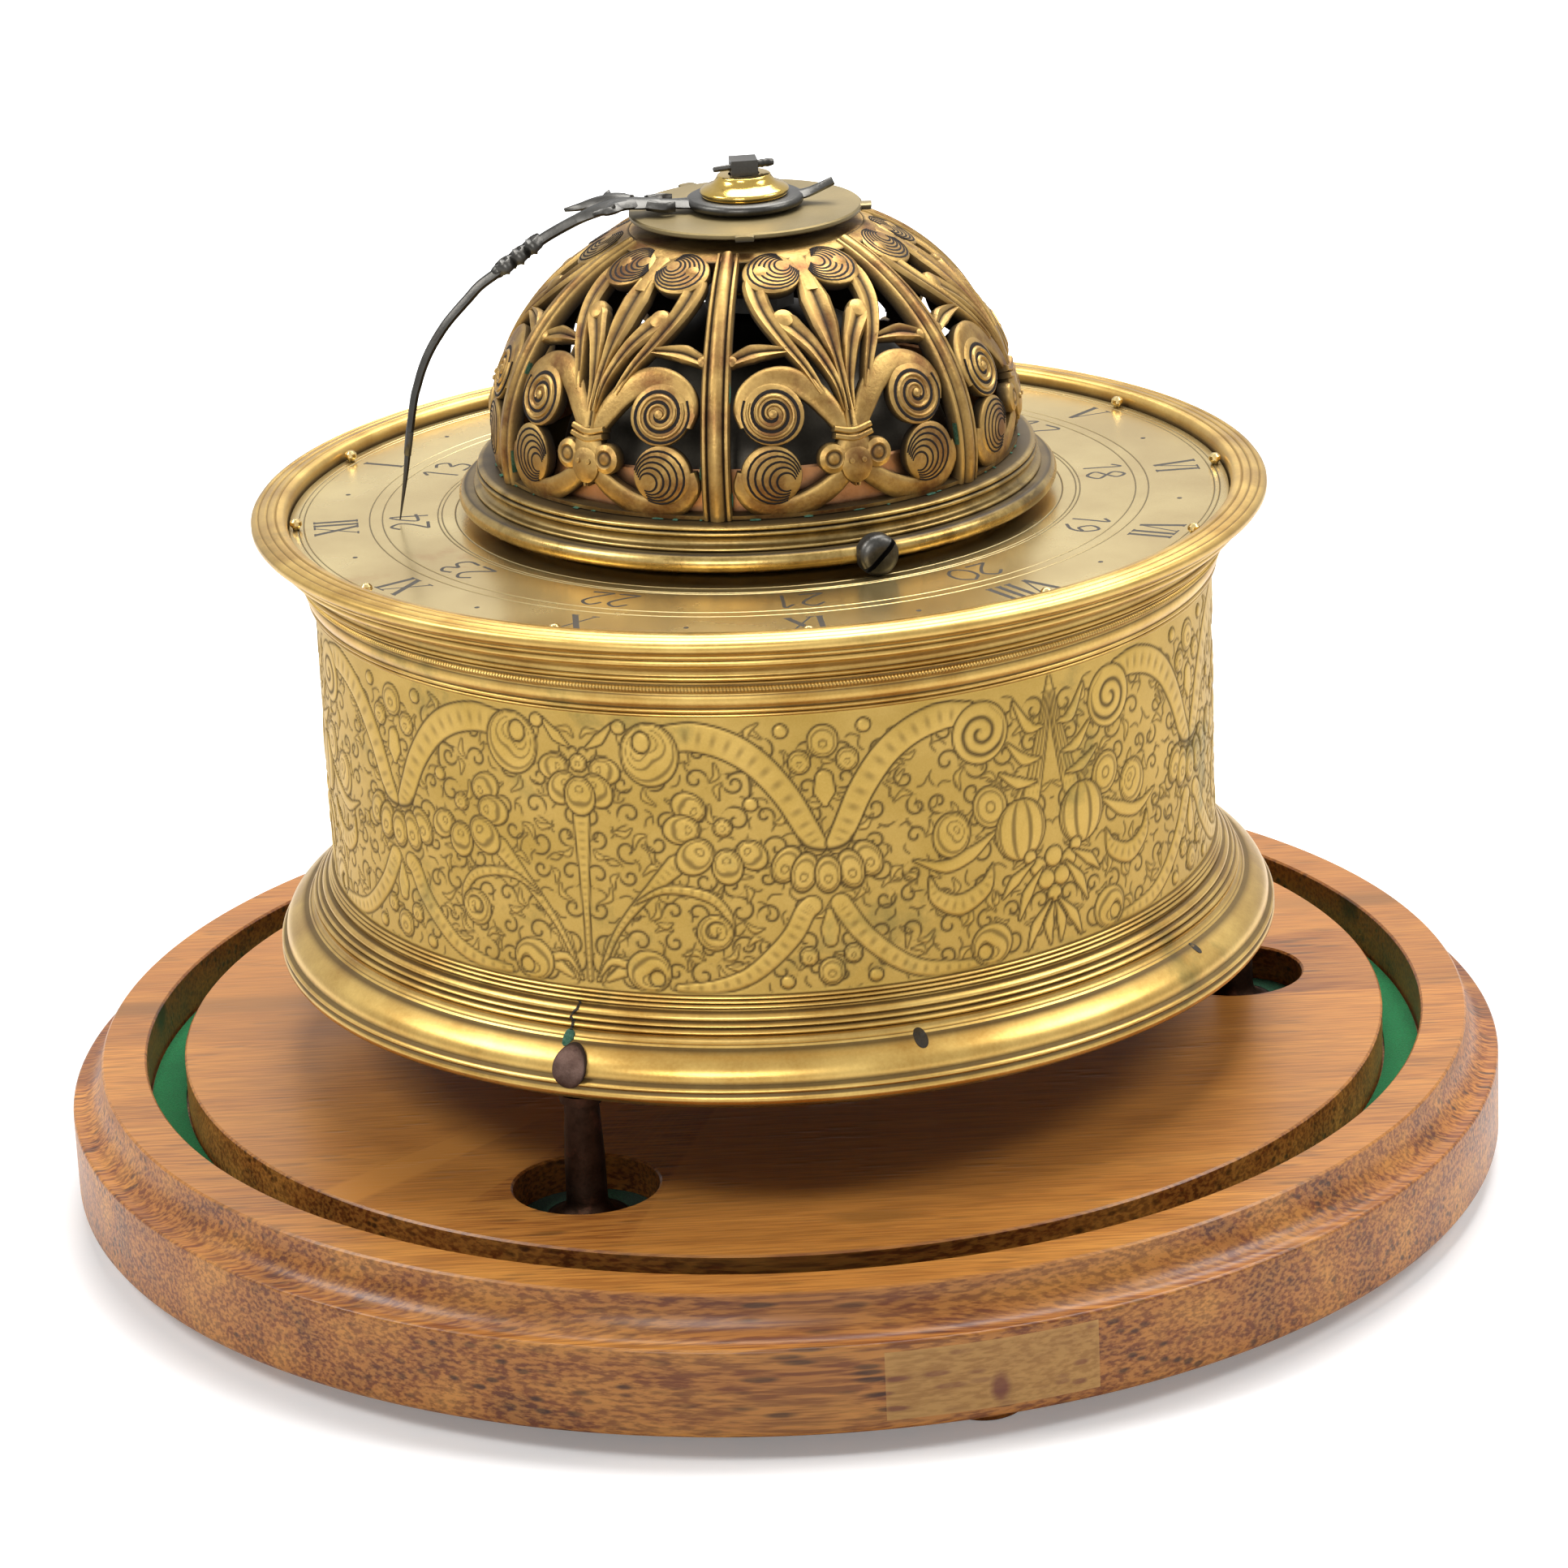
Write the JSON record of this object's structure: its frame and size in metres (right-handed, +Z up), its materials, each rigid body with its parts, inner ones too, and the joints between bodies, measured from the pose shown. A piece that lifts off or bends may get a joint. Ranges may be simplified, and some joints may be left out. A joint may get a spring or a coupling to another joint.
{
  "type": "table clock",
  "caption": "Gilt drum table clock with flat hour dial, pierced bell dome, one curved iron hand, iron feet and a wooden stand",
  "frame": {"origin": "centre of the stand at the level its three wooden feet rest on", "axes": "+Z up along the axis of case, dome and hand arbor; -Y the side seen in the picture; +X to the right in the picture"},
  "size_m": [0.2172, 0.2172, 0.1552],
  "materials": {
    "gilt_brass": "matt gilt brass with dark engraving, worn to bare brass on the edges",
    "dial_brass": "pale gilt brass with brushed surface and engraved rings",
    "dome_gilt": "copper-toned gilding over cast and chased brass, with red-brown patina",
    "dull_brass": "dull brown-grey brass, hardly polished",
    "polished_brass": "bright polished brass",
    "movement_brass": "plain filed movement brass with light tarnish",
    "iron": "dark forged iron with a dull filed surface",
    "bell_metal": "dark oxidised bell metal, turned",
    "steel": "filed and polished steel",
    "wood": "reddish-orange turned wood, waxed",
    "inlay_wood": "pale let-in wood, waxed",
    "felt": "green woollen felt",
    "gut": "twisted gut line"
  },
  "bodies": {
    "frame": {"stand_board": "wood", "stand_inlay": "inlay_wood", "groove_felt": "felt", "stand_foot_front": "wood", "stand_foot_right": "wood", "stand_foot_rear": "wood", "case_foot_front": "iron", "case_foot_right": "iron", "case_foot_rear": "iron", "case_band": "gilt_brass", "top_moulding": "gilt_brass", "bottom_moulding": "gilt_brass", "dial_plate": "dial_brass", "dome_ring": "gilt_brass", "dome_shell": "dome_gilt", "dome_screw_front": "iron", "dome_screw_rear": "iron", "top_disc": "dull_brass", "bell": "bell_metal", "bell_stand": "movement_brass", "bell_nut": "iron", "top_plate": "movement_brass", "bottom_plate": "movement_brass", "pillar_1": "movement_brass", "pillar_2": "movement_brass", "pillar_3": "movement_brass", "pillar_4": "movement_brass", "balance_cock": "movement_brass", "crown_bracket_inner": "movement_brass", "crown_bracket_outer": "movement_brass", "gut_line": "gut", "going_barrel_arbor": "steel"},
    "going_barrel_body": {"going_barrel": "movement_brass", "going_barrel_cap": "movement_brass", "going_mainspring": "steel"},
    "fusee_body": {"fusee_arbor": "steel", "great_wheel": "movement_brass", "fusee_cone": "movement_brass"},
    "second_body": {"second_arbor": "steel", "second_wheel": "movement_brass"},
    "contrate_body": {"contrate_arbor": "steel", "contrate_wheel": "movement_brass"},
    "crown_body": {"crown_arbor": "steel", "crown_wheel": "movement_brass"},
    "balance_body": {"verge": "steel", "balance_wheel": "iron"},
    "hour_body": {"hour_wheel": "movement_brass"},
    "hand_body": {"hand_arbor": "iron", "hand": "iron", "collet": "polished_brass", "taper_pin": "iron"},
    "strike_barrel_body": {"strike_barrel": "movement_brass", "strike_barrel_cap": "movement_brass", "strike_mainspring": "steel"},
    "strike_arbor_body": {"strike_arbor": "steel"},
    "pin_body": {"pin_wheel": "movement_brass"},
    "warning_body": {"warning_wheel": "movement_brass"},
    "fly_body": {"fly": "steel"},
    "count_body": {"count_wheel": "movement_brass"},
    "hammer_body": {"hammer": "iron"}
  },
  "joints": [
    {"name": "second_spin", "type": "hinge", "parent": "frame", "child": "second_body", "pos_m": [-0.0149, -0.03224, 0], "axis": [0, 0, 1], "continuous": true},
    {"name": "fusee_spin", "type": "hinge", "parent": "frame", "child": "fusee_body", "pos_m": [-0.02352, -0.00856, 0], "axis": [0, 0, 1], "continuous": true},
    {"name": "going_barrel_spin", "type": "hinge", "parent": "frame", "child": "going_barrel_body", "pos_m": [-0.0142, 0.02621, 0], "axis": [0, 0, 1], "continuous": true},
    {"name": "contrate_spin", "type": "hinge", "parent": "frame", "child": "contrate_body", "pos_m": [0.00425, -0.02886, 0], "axis": [0, 0, 1], "continuous": true},
    {"name": "crown_spin", "type": "hinge", "parent": "frame", "child": "crown_body", "pos_m": [0.00425, -0.02886, 0.06925], "axis": [0.9659, 0.2588, 0], "continuous": true},
    {"name": "hour_spin", "type": "hinge", "parent": "frame", "child": "hour_body", "pos_m": [0, 0, 0], "axis": [0, 0, 1], "continuous": true},
    {"name": "hand_setting", "type": "hinge", "parent": "hour_body", "child": "hand_body", "pos_m": [0, 0, 0], "axis": [0, 0, 1], "continuous": true},
    {"name": "pin_spin", "type": "hinge", "parent": "frame", "child": "pin_body", "pos_m": [0.01296, 0.04058, 0], "axis": [0, 0, 1], "continuous": true},
    {"name": "strike_barrel_spin", "type": "hinge", "parent": "frame", "child": "strike_barrel_body", "pos_m": [0.026, 0.018, 0], "axis": [0, 0, 1], "continuous": true},
    {"name": "strike_winding", "type": "hinge", "parent": "frame", "child": "strike_arbor_body", "pos_m": [0.026, 0.018, 0], "axis": [0, 0, 1], "continuous": true},
    {"name": "warning_spin", "type": "hinge", "parent": "frame", "child": "warning_body", "pos_m": [-0.00375, 0.04353, 0], "axis": [0, 0, 1], "continuous": true},
    {"name": "fly_spin", "type": "hinge", "parent": "frame", "child": "fly_body", "pos_m": [-0.01631, 0.04463, 0], "axis": [0, 0, 1], "continuous": true},
    {"name": "count_spin", "type": "hinge", "parent": "frame", "child": "count_body", "pos_m": [-0.00054, 0.02449, 0], "axis": [0, 0, 1], "continuous": true},
    {"name": "balance_swing", "type": "hinge", "parent": "frame", "child": "balance_body", "pos_m": [0.03226, -0.02136, 0], "axis": [0, 0, 1], "range_deg": [-35, 35]},
    {"name": "hammer_swing", "type": "hinge", "parent": "frame", "child": "hammer_body", "pos_m": [-0.01094, 0.03007, 0], "axis": [0, 0, 1], "range_deg": [-2, 8]}
  ],
  "couplings": [
    {"joint": "fusee_spin", "follows": "second_spin", "ratio": -0.2},
    {"joint": "going_barrel_spin", "follows": "second_spin", "ratio": -0.13},
    {"joint": "contrate_spin", "follows": "second_spin", "ratio": -5},
    {"joint": "crown_spin", "follows": "second_spin", "ratio": 20},
    {"joint": "hour_spin", "follows": "second_spin", "ratio": 0.05},
    {"joint": "strike_barrel_spin", "follows": "pin_spin", "ratio": -0.25},
    {"joint": "warning_spin", "follows": "pin_spin", "ratio": -4},
    {"joint": "fly_spin", "follows": "pin_spin", "ratio": 16},
    {"joint": "count_spin", "follows": "pin_spin", "ratio": -0.16667}
  ]
}
